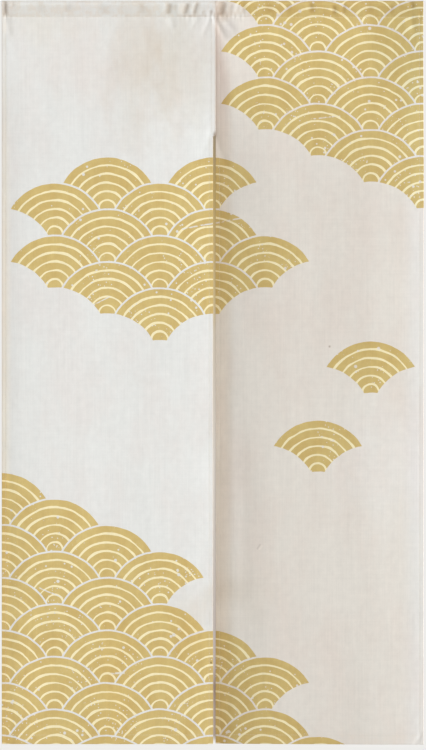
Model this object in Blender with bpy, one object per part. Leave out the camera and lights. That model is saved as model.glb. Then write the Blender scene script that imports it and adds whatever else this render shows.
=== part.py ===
"""A noren: a split doorway curtain of two cotton panels with a rod pocket along the top.

Metres throughout. X runs to the right, Z up, and the printed face looks toward -Y. The origin is the
middle of the top edge, and the whole curtain hangs below it. The two panels are seamed together a little
right of the middle, from the top down to the slit, and each rod pocket is the upper end of its panel,
folded back and sewn down.
"""
import math

import bmesh
import bpy

# Driving dimensions
WIDTH = 0.850
DROP = 1.500
HEADING = 0.0325
SEAM_X = 0.0064
SLIT_TOP = 0.271
SLIT_WIDTH = 0.0058
SLIT_WOBBLE = 0.0002
SLIT_WOBBLE_PITCH = 0.42
SLIT_OPENS_OVER = 0.003
GAP = 0.0003
HALF = WIDTH / 2

# The cloth and its hems, which are turned to the back
CLOTH = 0.0012
HEM_EXTRA = 0.0010
SIDE_HEM = 0.009
BOTTOM_HEM = 0.020
HEM_STEP = 0.001

# The rod pocket: an egg-shaped tube that a rod of 15 mm holds open, closed at its foot by the stitching
POCKET_RADIUS = 0.0087
POCKET_WALL = 0.0012
POCKET_FOOT_RADIUS = 0.0013
POCKET_SEWN = 0.003
ROD_SPACE_FOOT_RADIUS = 0.0004
ARC_STEPS = 8
WALL_STEPS = 4
POCKET_COLUMN = 0.0145
FINEST_COLUMN = 0.0018
POCKET_MIDDLE = CLOTH / 2
PUCKER_END_POWER = 3
PUCKER_COLUMNS = (-0.5, -0.25, 0.0, 0.25, 0.5)

# How the panels hang: slopes in degrees, other values in metres
HANG_EASE = 0.36
SEAM_BACK = 0.0018
SLIT_EDGE_BACK = 0.0150
VALLEY_WIDTH = 0.150
VALLEY_RELAX = 0.330
RIGHT_FIRST_SLOPE = -9.6
LEFT_FIRST_SLOPE = -5.5
LEFT_FLAT_FROM = 0.200

# The panels' grids
COLUMN_STEP = 0.026
ROW_STEP = 0.040

# Soft upright folds of the right panel: distance from the seam, turn of the cloth in degrees, softness
RIGHT_FOLDS = (
    {"at": 0.033, "turn": 4.6, "soft": 0.011},
    {"at": 0.108, "turn": 2.0, "soft": 0.022},
    {"at": 0.317, "turn": 1.4, "soft": 0.022},
    {"at": 0.395, "turn": 1.6, "soft": 0.014},
)

# Soft upright folds of the left panel: distance from its outer edge, turn in degrees, softness
LEFT_FOLDS = (
    {"at": 0.012, "turn": 2.6, "soft": 0.009},
    {"at": 0.028, "turn": 1.9, "soft": 0.014},
    {"at": 0.058, "turn": 0.9, "soft": 0.030},
    {"at": 0.388, "turn": 1.1, "soft": 0.018},
)

# Puckers of the rod pocket: middle and width along X, depth (below zero stands proud), upper and lower
# end below the top edge, and the sideways lean of the lower end
PUCKERS = (
    {"at": -0.4180, "wide": 0.010, "deep": 0.0012, "upper": 0.000, "lower": 0.030, "lean": 0.000},
    {"at": -0.4020, "wide": 0.008, "deep": 0.0006, "upper": 0.002, "lower": 0.014, "lean": 0.000},
    {"at": -0.0860, "wide": 0.016, "deep": 0.0014, "upper": 0.004, "lower": 0.030, "lean": 0.002},
    {"at": -0.0700, "wide": 0.012, "deep": -0.0010, "upper": 0.002, "lower": 0.028, "lean": 0.000},
    {"at": -0.0526, "wide": 0.011, "deep": 0.0013, "upper": 0.004, "lower": 0.030, "lean": -0.002},
    {"at": -0.0324, "wide": 0.011, "deep": 0.0015, "upper": 0.003, "lower": 0.032, "lean": -0.001},
    {"at": 0.0233, "wide": 0.020, "deep": 0.0018, "upper": 0.000, "lower": 0.032, "lean": -0.009},
    {"at": 0.0450, "wide": 0.016, "deep": -0.0010, "upper": 0.002, "lower": 0.028, "lean": -0.004},
    {"at": 0.1970, "wide": 0.018, "deep": 0.0009, "upper": 0.002, "lower": 0.026, "lean": 0.003},
    {"at": 0.2440, "wide": 0.014, "deep": 0.0012, "upper": 0.008, "lower": 0.032, "lean": 0.002},
    {"at": 0.2650, "wide": 0.012, "deep": 0.0009, "upper": 0.003, "lower": 0.028, "lean": 0.000},
    {"at": 0.4010, "wide": 0.016, "deep": 0.0012, "upper": 0.000, "lower": 0.018, "lean": 0.003},
)


def remove_everything():
    """Clears the objects that a new scene starts with."""
    for thing in list(bpy.data.objects):
        bpy.data.objects.remove(thing, do_unlink=True)


def cotton(name, colour, roughness):
    """A plain unmetallic cloth finish."""
    finish = bpy.data.materials.new(name)
    finish.use_nodes = True
    principled = finish.node_tree.nodes["Principled BSDF"]
    principled.inputs["Base Color"].default_value = (*colour, 1.0)
    principled.inputs["Roughness"].default_value = roughness
    principled.inputs["Metallic"].default_value = 0.0
    return finish


def ease(share):
    """A smooth rise from 0 to 1 as the share goes from 0 to 1."""
    share = min(max(share, 0.0), 1.0)
    return share * share * (3.0 - 2.0 * share)


def turned(distance, soft):
    """How far cloth has moved past a fold that tips it by a slope of one, rounded by the softness."""
    return (distance + math.sqrt(distance * distance + soft * soft)) / 2


def folded_depth(distance, first_slope, folds):
    """Depth of a panel at a distance from the edge where its folds are counted from."""
    depth = math.tan(math.radians(first_slope)) * distance
    for fold in folds:
        slope = math.tan(math.radians(fold["turn"]))
        depth += slope * turned(distance - fold["at"], fold["soft"])
    return depth


def hang(below):
    """How much of its folds a panel has at a height: none at the stitched heading, then soon all."""
    return ease((below - HEADING) / HANG_EASE)


def seam_depth(below):
    """Depth of the centre seam, which draws back between the two panels down to the slit."""
    return SEAM_BACK * ease((below - HEADING) / (SLIT_TOP - HEADING))


def right_depth(x, below):
    """Depth of the right panel's face: its slit edge hangs back and its outer edge comes forward."""
    at_slit = folded_depth(0.0, RIGHT_FIRST_SLOPE, RIGHT_FOLDS)
    shape = folded_depth(x - SEAM_X, RIGHT_FIRST_SLOPE, RIGHT_FOLDS) - at_slit
    freed = ease((below - SLIT_TOP) / (DROP - SLIT_TOP))
    return hang(below) * shape + seam_depth(below) + (SLIT_EDGE_BACK - SEAM_BACK) * freed


def left_shape(x):
    """Folds of the left panel, measured from its flat middle."""
    at_middle = folded_depth(LEFT_FLAT_FROM, LEFT_FIRST_SLOPE, LEFT_FOLDS)
    return folded_depth(x + HALF, LEFT_FIRST_SLOPE, LEFT_FOLDS) - at_middle


def left_depth(x, below):
    """Depth of the left panel's face: nearly flat, its side edges a little back."""
    folds = hang(below) * left_shape(x)
    to_seam = seam_depth(below) - hang(below) * left_shape(SEAM_X)
    relaxed = 1.0 - ease((below - SLIT_TOP) / VALLEY_RELAX)
    return folds + to_seam * relaxed * ease(1.0 + (x - SEAM_X) / VALLEY_WIDTH)


def seam_edge(side):
    """Distance of a panel's seamed edge from the centre line, along its own side."""
    return side * SEAM_X + GAP / 2


def slit_edge(side):
    """The same for its edge at the slit, which the left panel alone draws back from."""
    return seam_edge(side) + (SLIT_WIDTH - GAP if side < 0 else 0.0)


def inner_edge(side, below):
    """Distance of a panel's inner edge from the centre line: at the seam, then at the open slit."""
    opened = ease((below - SLIT_TOP) / SLIT_OPENS_OVER)
    wobble = SLIT_WOBBLE * math.sin(math.tau * (below - SLIT_TOP) / SLIT_WOBBLE_PITCH)
    return seam_edge(side) + opened * (slit_edge(side) - seam_edge(side) + wobble)


def even_steps(start, end, step):
    """Values from start to end, as evenly spaced as a whole number of steps allows."""
    count = max(1, round((end - start) / step))
    return [start + (end - start) * index / count for index in range(count + 1)]


def panel_columns(side, fold_places):
    """Distances of a panel's columns from the centre line, with lines at its hems and folds."""
    inner_hem = slit_edge(side) + SIDE_HEM
    outer_hem = HALF - SIDE_HEM
    columns = [-HALF, inner_hem]
    places = [inner_hem + HEM_STEP, *sorted(fold_places), outer_hem - HEM_STEP]
    for start, end in zip(places, places[1:]):
        columns += even_steps(start, end, COLUMN_STEP)[:-1]
    return [*columns, outer_hem - HEM_STEP, outer_hem, HALF]


def panel_rows():
    """Depths below the top edge of a panel's rows, with lines at the slit's top and the bottom hem."""
    rows = even_steps(HEADING + GAP, SLIT_TOP, ROW_STEP)
    hem_line = DROP - BOTTOM_HEM - HEM_STEP
    rows += even_steps(SLIT_TOP + SLIT_OPENS_OVER, hem_line, ROW_STEP)
    return rows + [DROP - BOTTOM_HEM, DROP]


def hem_share(from_edge, below):
    """One where the cloth is turned back double, at the sides and along the bottom, else zero."""
    at_side = 1.0 - ease((from_edge - SIDE_HEM) / HEM_STEP)
    at_bottom = 1.0 - ease((DROP - BOTTOM_HEM - below) / HEM_STEP)
    return max(at_side, at_bottom)


def new_node(name, builder, finish):
    """Turns a finished bmesh into an object with its own material."""
    bmesh.ops.recalc_face_normals(builder, faces=builder.faces)
    mesh = bpy.data.meshes.new(name)
    builder.to_mesh(mesh)
    builder.free()
    mesh.materials.append(finish)
    node = bpy.data.objects.new(name, mesh)
    bpy.context.collection.objects.link(node)
    return node


def panel(name, side, fold_places, depth_at, finish):
    """One hanging sheet: a front and a back skin over the same grid, closed round its edge."""
    rows = panel_rows()
    builder = bmesh.new()
    front = []
    back = []
    for from_centre in panel_columns(side, fold_places):
        front_line = []
        back_line = []
        for below in rows:
            away = max(from_centre, inner_edge(side, below))
            x = side * away
            y = depth_at(x, below)
            from_edge = min(away - slit_edge(side), HALF - away)
            thick = CLOTH + HEM_EXTRA * hem_share(from_edge, below)
            front_line.append(builder.verts.new((x, y, -below)))
            back_line.append(builder.verts.new((x, y + thick, -below)))
        front.append(front_line)
        back.append(back_line)
    last_column = len(front) - 1
    last_row = len(rows) - 1
    for column in range(last_column):
        for row in range(last_row):
            for skin in (front, back):
                builder.faces.new((skin[column][row], skin[column + 1][row],
                                   skin[column + 1][row + 1], skin[column][row + 1]))
        for row in (0, last_row):
            builder.faces.new((front[column][row], front[column + 1][row],
                               back[column + 1][row], back[column][row]))
    for row in range(last_row):
        for column in (0, last_column):
            builder.faces.new((front[column][row], front[column][row + 1],
                               back[column][row + 1], back[column][row]))
    return new_node(name, builder, finish)


def egg_outline(top, foot, top_radius, foot_radius):
    """Points (y, z) round two circles, one under the other, and the straight walls between them."""
    reach = (top - foot) - top_radius - foot_radius
    tip = math.asin((top_radius - foot_radius) / reach)
    top_centre = top - top_radius
    foot_centre = foot + foot_radius
    outline = []
    for step in range(ARC_STEPS + 1):
        angle = math.pi + tip - (math.pi + 2 * tip) * step / ARC_STEPS
        outline.append((top_radius * math.cos(angle), top_centre + top_radius * math.sin(angle)))
    start_y, start_z = outline[-1]
    foot_y = foot_radius * math.cos(tip)
    foot_z = foot_centre - foot_radius * math.sin(tip)
    for step in range(1, WALL_STEPS + 1):
        share = step / WALL_STEPS
        outline.append((start_y + share * (foot_y - start_y), start_z + share * (foot_z - start_z)))
    outline.append((0.0, foot))
    for step in range(WALL_STEPS, 0, -1):
        y, z = outline[ARC_STEPS + step]
        outline.append((-y, z))
    return outline


def pucker_push(x, below):
    """How far the front of the rod pocket is pushed in at a place, by all its puckers."""
    push = 0.0
    for pucker in PUCKERS:
        along = (below - pucker["upper"]) / (pucker["lower"] - pucker["upper"])
        middle = pucker["at"] + pucker["lean"] * min(max(along, 0.0), 1.0)
        across = ease(1.0 - abs(x - middle) / (pucker["wide"] / 2))
        ends = ease(1.0 - abs(2.0 * along - 1.0) ** PUCKER_END_POWER)
        push += pucker["deep"] * across * ends
    return push


def pocket_columns(side):
    """Places along X of a rod pocket's columns: even ones, and finer ones over each pucker."""
    start = seam_edge(side)
    columns = set(even_steps(start, HALF, POCKET_COLUMN))
    for pucker in PUCKERS:
        middle = side * pucker["at"]
        for share in PUCKER_COLUMNS:
            place = middle + share * pucker["wide"]
            if start < place < HALF:
                columns.add(place)
    kept = []
    for place in sorted(columns):
        if not kept or place - kept[-1] >= FINEST_COLUMN:
            kept.append(place)
    kept[-1] = HALF
    return [side * place for place in kept]


def rod_pocket(name, side, finish):
    """One panel's half of the pocket: a tube of cloth, open at both ends so that a rod passes through."""
    outer = egg_outline(0.0, -HEADING, POCKET_RADIUS, POCKET_FOOT_RADIUS)
    rod_space_radius = POCKET_RADIUS - POCKET_WALL
    inner = egg_outline(-POCKET_WALL, POCKET_SEWN - HEADING, rod_space_radius, ROD_SPACE_FOOT_RADIUS)
    builder = bmesh.new()
    skins = ([], [])
    for x in pocket_columns(side):
        for skin, outline in zip(skins, (outer, inner)):
            ring = []
            for y, z in outline:
                in_front = ease(-2 * y / POCKET_RADIUS)
                pushed = POCKET_MIDDLE + y + in_front * pucker_push(x, -z)
                ring.append(builder.verts.new((x, pushed, z)))
            skin.append(ring)
    around = len(outer)
    last = len(skins[0]) - 1
    for point in range(around):
        following = (point + 1) % around
        for skin in skins:
            for column in range(last):
                builder.faces.new((skin[column][point], skin[column + 1][point],
                                   skin[column + 1][following], skin[column][following]))
        for column in (0, last):
            builder.faces.new((skins[0][column][point], skins[0][column][following],
                               skins[1][column][following], skins[1][column][point]))
    return new_node(name, builder, finish)


def build():
    """The whole curtain: two rod pockets and the two panels that hang from them."""
    remove_everything()
    left_cotton = cotton("left_cotton", (0.77, 0.75, 0.70), 0.92)
    right_cotton = cotton("right_cotton", (0.72, 0.69, 0.63), 0.92)
    left_band = cotton("left_band_cotton", (0.74, 0.72, 0.67), 0.92)
    right_band = cotton("right_band_cotton", (0.62, 0.54, 0.38), 0.92)
    panel("left_panel", -1, [HALF - fold["at"] for fold in LEFT_FOLDS], left_depth, left_cotton)
    panel("right_panel", 1, [SEAM_X + fold["at"] for fold in RIGHT_FOLDS], right_depth, right_cotton)
    rod_pocket("left_heading", -1, left_band)
    rod_pocket("right_heading", 1, right_band)


build()
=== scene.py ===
import math

import bmesh
import bpy
import numpy as np
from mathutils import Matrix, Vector, noise


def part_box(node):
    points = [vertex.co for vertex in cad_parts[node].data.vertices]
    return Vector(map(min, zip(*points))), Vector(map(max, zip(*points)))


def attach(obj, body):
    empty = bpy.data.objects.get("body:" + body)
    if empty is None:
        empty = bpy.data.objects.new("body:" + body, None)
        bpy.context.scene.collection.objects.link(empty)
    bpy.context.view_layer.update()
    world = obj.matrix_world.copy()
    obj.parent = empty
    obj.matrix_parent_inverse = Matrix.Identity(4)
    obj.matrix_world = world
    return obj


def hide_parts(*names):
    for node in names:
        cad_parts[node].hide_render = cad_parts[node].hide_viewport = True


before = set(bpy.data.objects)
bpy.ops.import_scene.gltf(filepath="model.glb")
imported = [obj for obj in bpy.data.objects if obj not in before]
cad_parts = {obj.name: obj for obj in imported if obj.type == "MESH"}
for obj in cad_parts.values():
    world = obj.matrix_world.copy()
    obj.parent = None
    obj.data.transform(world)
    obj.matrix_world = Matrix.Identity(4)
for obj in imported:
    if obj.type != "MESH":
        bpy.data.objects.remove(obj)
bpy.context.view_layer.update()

# The two cloths are plain-weave cotton, cut 447 and 438 mm wide, hemmed down both sides and along the
# bottom, and folded to the back at the top, where one row of stitches makes the rod pocket. They hang
# from that pocket and are sewn together above the slit. Their side edges curl a little to the back.
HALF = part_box("right_panel")[1].x
DROP = -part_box("right_panel")[0].z
HEADING = -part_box("right_heading")[0].z
SEAM_X = 0.0064
SLIT_TOP = 0.271
SLIT_WIDTH = 0.0058
SLIT_WOBBLE = 0.0002
SLIT_WOBBLE_PITCH = 0.42
SLIT_OPENS_OVER = 0.003
SEAM_GAP = 0.0003
SLIT_DRAW_REACH = 0.05
THICK = 0.0005
LAYER = 0.0008
FOLD_RADIUS = LAYER / 2
SIDE_HEM = 0.0095
BOTTOM_HEM = 0.020
POCKET_FLAP = 0.0025
POCKET_RADIUS = 0.0085
POCKET_MIDDLE = 0.0006
POCKET_WALL_TILT = math.radians(19)
POCKET_FOOT_REACH = 0.012
POCKET_TOP_WAVE = 0.0004
HANG_EASE = 0.36
SEAM_BACK = 0.0018
SLIT_EDGE_BACK = 0.0150
VALLEY_WIDTH = 0.150
VALLEY_RELAX = 0.330
RIGHT_FIRST_SLOPE = -9.6
LEFT_FIRST_SLOPE = -5.5
LEFT_FLAT_FROM = 0.200

RIGHT_FOLDS = (
    {"at": 0.033, "turn": 4.6, "soft": 0.011},
    {"at": 0.108, "turn": 2.0, "soft": 0.022},
    {"at": 0.317, "turn": 1.4, "soft": 0.022},
    {"at": 0.395, "turn": 1.6, "soft": 0.014},
)
LEFT_FOLDS = (
    {"at": 0.012, "turn": 2.6, "soft": 0.009},
    {"at": 0.028, "turn": 1.9, "soft": 0.014},
    {"at": 0.058, "turn": 0.9, "soft": 0.030},
    {"at": 0.388, "turn": 1.1, "soft": 0.018},
)

# Puckers of the rod pocket's front: middle and width along X, depth (below zero stands proud), top and
# foot below the top edge, and how far the foot leans sideways
PUCKERS = (
    {"at": -0.4200, "wide": 0.016, "deep": 0.0020, "top": -0.002, "foot": 0.034, "lean": 0.000},
    {"at": -0.4020, "wide": 0.008, "deep": 0.0006, "top": 0.002, "foot": 0.014, "lean": 0.000},
    {"at": -0.3500, "wide": 0.030, "deep": 0.0004, "top": 0.002, "foot": 0.026, "lean": 0.004},
    {"at": -0.2900, "wide": 0.022, "deep": 0.0005, "top": 0.003, "foot": 0.024, "lean": -0.003},
    {"at": -0.2250, "wide": 0.034, "deep": 0.0004, "top": 0.002, "foot": 0.030, "lean": 0.006},
    {"at": -0.1450, "wide": 0.026, "deep": 0.0005, "top": 0.004, "foot": 0.028, "lean": 0.003},
    {"at": -0.0865, "wide": 0.021, "deep": 0.0014, "top": 0.003, "foot": 0.030, "lean": -0.005},
    {"at": -0.0700, "wide": 0.012, "deep": -0.0010, "top": 0.002, "foot": 0.028, "lean": 0.000},
    {"at": -0.0510, "wide": 0.016, "deep": 0.0016, "top": 0.003, "foot": 0.031, "lean": -0.007},
    {"at": -0.0305, "wide": 0.014, "deep": 0.0014, "top": 0.002, "foot": 0.033, "lean": -0.010},
    {"at": -0.0200, "wide": 0.008, "deep": 0.0008, "top": 0.020, "foot": 0.034, "lean": 0.000},
    {"at": -0.0040, "wide": 0.010, "deep": 0.0012, "top": 0.018, "foot": 0.034, "lean": 0.001},
    {"at": 0.0205, "wide": 0.028, "deep": 0.0024, "top": 0.000, "foot": 0.034, "lean": -0.009},
    {"at": 0.0450, "wide": 0.016, "deep": -0.0010, "top": 0.002, "foot": 0.028, "lean": -0.004},
    {"at": 0.0640, "wide": 0.014, "deep": 0.0007, "top": 0.002, "foot": 0.030, "lean": -0.003},
    {"at": 0.1100, "wide": 0.024, "deep": 0.0005, "top": 0.003, "foot": 0.028, "lean": 0.004},
    {"at": 0.1530, "wide": 0.018, "deep": 0.0006, "top": 0.004, "foot": 0.026, "lean": -0.002},
    {"at": 0.1970, "wide": 0.018, "deep": 0.0011, "top": 0.002, "foot": 0.026, "lean": 0.003},
    {"at": 0.2440, "wide": 0.014, "deep": 0.0014, "top": 0.008, "foot": 0.032, "lean": 0.002},
    {"at": 0.2650, "wide": 0.012, "deep": 0.0011, "top": 0.003, "foot": 0.028, "lean": 0.000},
    {"at": 0.3150, "wide": 0.024, "deep": 0.0005, "top": 0.002, "foot": 0.026, "lean": 0.003},
    {"at": 0.3620, "wide": 0.018, "deep": 0.0006, "top": 0.004, "foot": 0.030, "lean": -0.003},
    {"at": 0.4010, "wide": 0.016, "deep": 0.0015, "top": 0.000, "foot": 0.018, "lean": 0.003},
)

# Soft creases of the panels, each a trough along a straight line; below zero it is a ridge
CREASES = (
    {"x": 0.004, "z": -0.034, "to_x": 0.030, "to_z": -0.085, "wide": 0.0055, "deep": 0.0007},
    {"x": 0.020, "z": -0.034, "to_x": 0.052, "to_z": -0.070, "wide": 0.0060, "deep": 0.0004},
    {"x": -0.006, "z": -0.034, "to_x": -0.022, "to_z": -0.078, "wide": 0.0050, "deep": 0.0004},
    {"x": -0.030, "z": -0.034, "to_x": -0.046, "to_z": -0.062, "wide": 0.0050, "deep": 0.0003},
    {"x": -0.084, "z": -0.034, "to_x": -0.080, "to_z": -0.060, "wide": 0.0060, "deep": 0.0005},
    {"x": -0.415, "z": -0.034, "to_x": -0.410, "to_z": -0.080, "wide": 0.0060, "deep": 0.0005},
    {"x": 0.402, "z": -0.034, "to_x": 0.408, "to_z": -0.075, "wide": 0.0070, "deep": 0.0006},
    {"x": 0.002, "z": -1.188, "to_x": 0.100, "to_z": -1.182, "wide": 0.0060, "deep": 0.0005},
    {"x": 0.002, "z": -1.232, "to_x": 0.112, "to_z": -1.240, "wide": 0.0070, "deep": 0.0006},
    {"x": 0.002, "z": -1.444, "to_x": 0.104, "to_z": -1.438, "wide": 0.0060, "deep": 0.0006},
    {"x": 0.004, "z": -1.470, "to_x": 0.088, "to_z": -1.476, "wide": 0.0050, "deep": 0.0004},
    {"x": 0.058, "z": -0.850, "to_x": 0.066, "to_z": -1.410, "wide": 0.0140, "deep": 0.00022},
    {"x": 0.405, "z": -1.506, "to_x": 0.428, "to_z": -1.466, "wide": 0.0040, "deep": 0.0005},
    {"x": -0.002, "z": -0.262, "to_x": -0.030, "to_z": -0.330, "wide": 0.0060, "deep": 0.0002},
    {"x": 0.002, "z": -0.262, "to_x": 0.034, "to_z": -0.350, "wide": 0.0070, "deep": 0.0003},
)
SEAM_GROOVE = {-1: 0.00004, 1: 0.00018}
SEAM_GROOVE_WIDE = 0.0032
# Painted shade along the seam, at the folded edges that face the light, and in the puckers' hollows
SEAM_SHADE_WIDE = 0.0022
SEAM_PAINTED_SHADE = 0.35
HEM_TONE = 0.35
EDGE_PAINTED_SHADE = {-1: 0.0026, 1: 0.0016}
PUCKER_SOFTENED = 0.45
PUCKER_DEEPEST = 0.0012
HEM_STITCH = 0.0078
HEM_GROOVE = 0.00009
HEM_GROOVE_WIDE = 0.0012
PULL_HIGH = 0.00016
PULL_PITCH = 0.0085
PULL_REACH = 0.006
SWAY_HIGH = 0.00045
SWAY_ACROSS = 7.0
SWAY_DOWN = 2.6
EDGE_SWAY_HIGH = 0.0007
EDGE_SWAY_REACH = 0.022
EDGE_SWAY_DOWN = 11.0
SEAM_ENDS_OVER = 0.012
SLIT_FREED_OVER = 0.05
FREED_BELOW_POCKET = 0.08
HEM_LINE_RISE = 0.002


def ease(share):
    """A smooth rise from 0 to 1 as the share goes from 0 to 1."""
    share = np.clip(share, 0.0, 1.0)
    return share * share * (3.0 - 2.0 * share)


def turned(distance, soft):
    """How far cloth has moved past a fold that tips it by a slope of one, rounded by the softness."""
    return (distance + np.sqrt(distance * distance + soft * soft)) / 2


def folded_depth(distance, first_slope, folds):
    """Depth of a panel at a distance from the edge where its folds are counted from."""
    depth = math.tan(math.radians(first_slope)) * distance
    for fold in folds:
        depth = depth + math.tan(math.radians(fold["turn"])) * turned(distance - fold["at"], fold["soft"])
    return depth


def hang(below):
    """How much of its folds a panel has at a height: none at the stitched heading, then soon all."""
    return ease((below - HEADING) / HANG_EASE)


def seam_depth(below):
    """Depth of the centre seam, which draws back between the two panels down to the slit."""
    return SEAM_BACK * ease((below - HEADING) / (SLIT_TOP - HEADING))


def right_depth(x, below):
    """Depth of the right panel's face: its slit edge hangs back and its outer edge comes forward."""
    at_slit = folded_depth(0.0, RIGHT_FIRST_SLOPE, RIGHT_FOLDS)
    shape = folded_depth(x - SEAM_X, RIGHT_FIRST_SLOPE, RIGHT_FOLDS) - at_slit
    freed = ease((below - SLIT_TOP) / (DROP - SLIT_TOP))
    return hang(below) * shape + seam_depth(below) + (SLIT_EDGE_BACK - SEAM_BACK) * freed


def left_shape(x):
    """Folds of the left panel, measured from its flat middle."""
    at_middle = folded_depth(LEFT_FLAT_FROM, LEFT_FIRST_SLOPE, LEFT_FOLDS)
    return folded_depth(x + HALF, LEFT_FIRST_SLOPE, LEFT_FOLDS) - at_middle


def left_depth(x, below):
    """Depth of the left panel's face: nearly flat, its side edges a little back."""
    folds = hang(below) * left_shape(x)
    to_seam = seam_depth(below) - hang(below) * left_shape(SEAM_X)
    relaxed = 1.0 - ease((below - SLIT_TOP) / VALLEY_RELAX)
    return folds + to_seam * relaxed * ease(1.0 + (x - SEAM_X) / VALLEY_WIDTH)


def seam_edge(side):
    """Distance of a panel's seamed edge from the centre line, along its own side."""
    return side * SEAM_X + SEAM_GAP / 2


def slit_edge(side):
    """The same for its edge at the slit, which the left panel alone draws back from."""
    return seam_edge(side) + (SLIT_WIDTH - SEAM_GAP if side < 0 else 0.0)


def inner_edge(side, below):
    """Distance of a panel's inner edge from the centre line: at the seam, then at the open slit."""
    opened = ease((below - SLIT_TOP) / SLIT_OPENS_OVER)
    wobble = SLIT_WOBBLE * np.sin(math.tau * (below - SLIT_TOP) / SLIT_WOBBLE_PITCH)
    return seam_edge(side) + opened * (slit_edge(side) - seam_edge(side) + wobble)


def soft_noise(across, down, layer):
    """Smooth noise over a sheet, the same each run."""
    across, down = np.broadcast_arrays(across, down)
    values = [noise.noise(Vector((a, d, layer))) for a, d in zip(across.ravel(), down.ravel())]
    return np.array(values).reshape(across.shape)


def crease_depth(x, below):
    """Depth of all soft creases at a place."""
    total = 0.0
    for crease in CREASES:
        run_x = crease["to_x"] - crease["x"]
        run_z = crease["to_z"] - crease["z"]
        length = math.hypot(run_x, run_z)
        from_x = x - crease["x"]
        from_z = -below - crease["z"]
        along = (from_x * run_x + from_z * run_z) / length ** 2
        across = (from_x * run_z - from_z * run_x) / length
        fade = ease(4.0 * along + 0.6) * ease(2.2 * (1.0 - along))
        total = total + crease["deep"] * np.exp(-(across / crease["wide"]) ** 2) * fade
    return total


def fine_depth(side, x, below):
    """Depth of the small forms: seam and hem grooves, the stitches' pull, creases and slow swaying."""
    from_slit = side * x - slit_edge(side)
    from_outer = HALF - side * x
    from_seam = np.abs(x - SEAM_X)
    sewn = 1.0 - ease((below - SLIT_TOP) / SEAM_ENDS_OVER)
    groove = SEAM_GROOVE[side] * np.exp(-(from_seam / SEAM_GROOVE_WIDE) ** 2) * sewn
    for hem_line in (from_slit - HEM_STITCH, from_outer - HEM_STITCH):
        groove = groove + HEM_GROOVE * np.exp(-(hem_line / HEM_GROOVE_WIDE) ** 2)
    to_hem_line = DROP - BOTTOM_HEM + HEM_LINE_RISE - below
    groove = groove + HEM_GROOVE * np.exp(-(to_hem_line / HEM_GROOVE_WIDE) ** 2)
    wander = soft_noise(x * 40.0, 0.0 * below, 5.0)
    pull = np.sin(math.tau * x / PULL_PITCH + 4.0 * wander) * np.exp(-np.abs(below - HEADING) / PULL_REACH)
    sway = SWAY_HIGH * soft_noise(x * SWAY_ACROSS, below * SWAY_DOWN, 1.0)
    sway = sway + 0.4 * SWAY_HIGH * soft_noise(x * SWAY_ACROSS * 3, below * SWAY_DOWN * 3, 2.0)
    slit_open = ease((below - SLIT_TOP) / SLIT_FREED_OVER)
    near_edge = np.exp(-from_outer / EDGE_SWAY_REACH)
    near_edge = near_edge + slit_open * np.exp(-np.maximum(from_slit, 0.0) / EDGE_SWAY_REACH)
    edge_sway = EDGE_SWAY_HIGH * near_edge * soft_noise(x * 2.0, below * EDGE_SWAY_DOWN, 3.0)
    free = ease((below - HEADING) / FREED_BELOW_POCKET)
    return groove + PULL_HIGH * pull + crease_depth(x, below) + (sway + edge_sway) * free


def cloth_depth(side, x, below):
    """Depth of a hanging cloth's printed face, large folds and small forms together."""
    large = right_depth(x, below) if side > 0 else left_depth(x, below)
    return large + fine_depth(side, x, below)


def pucker_push(x, below):
    """How far the front of the rod pocket is pushed in at a place, by all its puckers."""
    push = 0.0
    for pucker in PUCKERS:
        along = (below - pucker["top"]) / (pucker["foot"] - pucker["top"])
        middle = pucker["at"] + pucker["lean"] * np.clip(along, 0.0, 1.0)
        across = ease(1.0 - np.abs(x - middle) / (pucker["wide"] / 2))
        push = push + pucker["deep"] * across * ease(1.0 - np.abs(2.0 * along - 1.0) ** 3)
    return push


def steps(start, end, step):
    """Values from start to end, as evenly spaced as a whole number of steps allows."""
    return np.linspace(start, end, max(1, round((end - start) / step)) + 1)


def cloth_columns(width):
    """The cloth's upright lines, from the free edge of its inner hem round the front to that of its outer
    hem: distance from the inner edge, layer (0 the face, 1 the turned hem), and run along the cloth."""
    turned_part = np.array([SIDE_HEM, 0.0075, 0.0050, 0.0025, 0.0010])
    arc = np.radians([135.0, 90.0, 45.0])
    arc_place = FOLD_RADIUS * (1.0 - np.sin(arc))
    arc_layer = (1.0 - np.cos(arc)) / 2
    front = np.concatenate([
        [FOLD_RADIUS, 0.00045, 0.0012, 0.0022, 0.0034, 0.0048, 0.0062, 0.0072, 0.0084],
        steps(SIDE_HEM, 0.060, 0.0023),
        steps(0.060, 0.290, 0.0038)[1:],
        steps(0.290, width - SIDE_HEM, 0.0034)[1:],
        width - np.array([0.0084, 0.0072, 0.0055, 0.0036, 0.0020, 0.0010, 0.00045, FOLD_RADIUS]),
    ])
    inner_turn = np.concatenate([turned_part, arc_place])
    inner_layer = np.concatenate([np.ones(len(turned_part)), arc_layer])
    place = np.concatenate([inner_turn, front, width - inner_turn[::-1]])
    layer = np.concatenate([inner_layer, np.zeros(len(front)), inner_layer[::-1]])
    fold_run = FOLD_RADIUS * math.pi
    run = np.concatenate([
        FOLD_RADIUS - fold_run - (turned_part - FOLD_RADIUS),
        FOLD_RADIUS - FOLD_RADIUS * arc,
        front,
        width - FOLD_RADIUS + FOLD_RADIUS * arc[::-1],
        width - FOLD_RADIUS + fold_run + (turned_part[::-1] - FOLD_RADIUS),
    ])
    return place, layer, run


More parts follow.
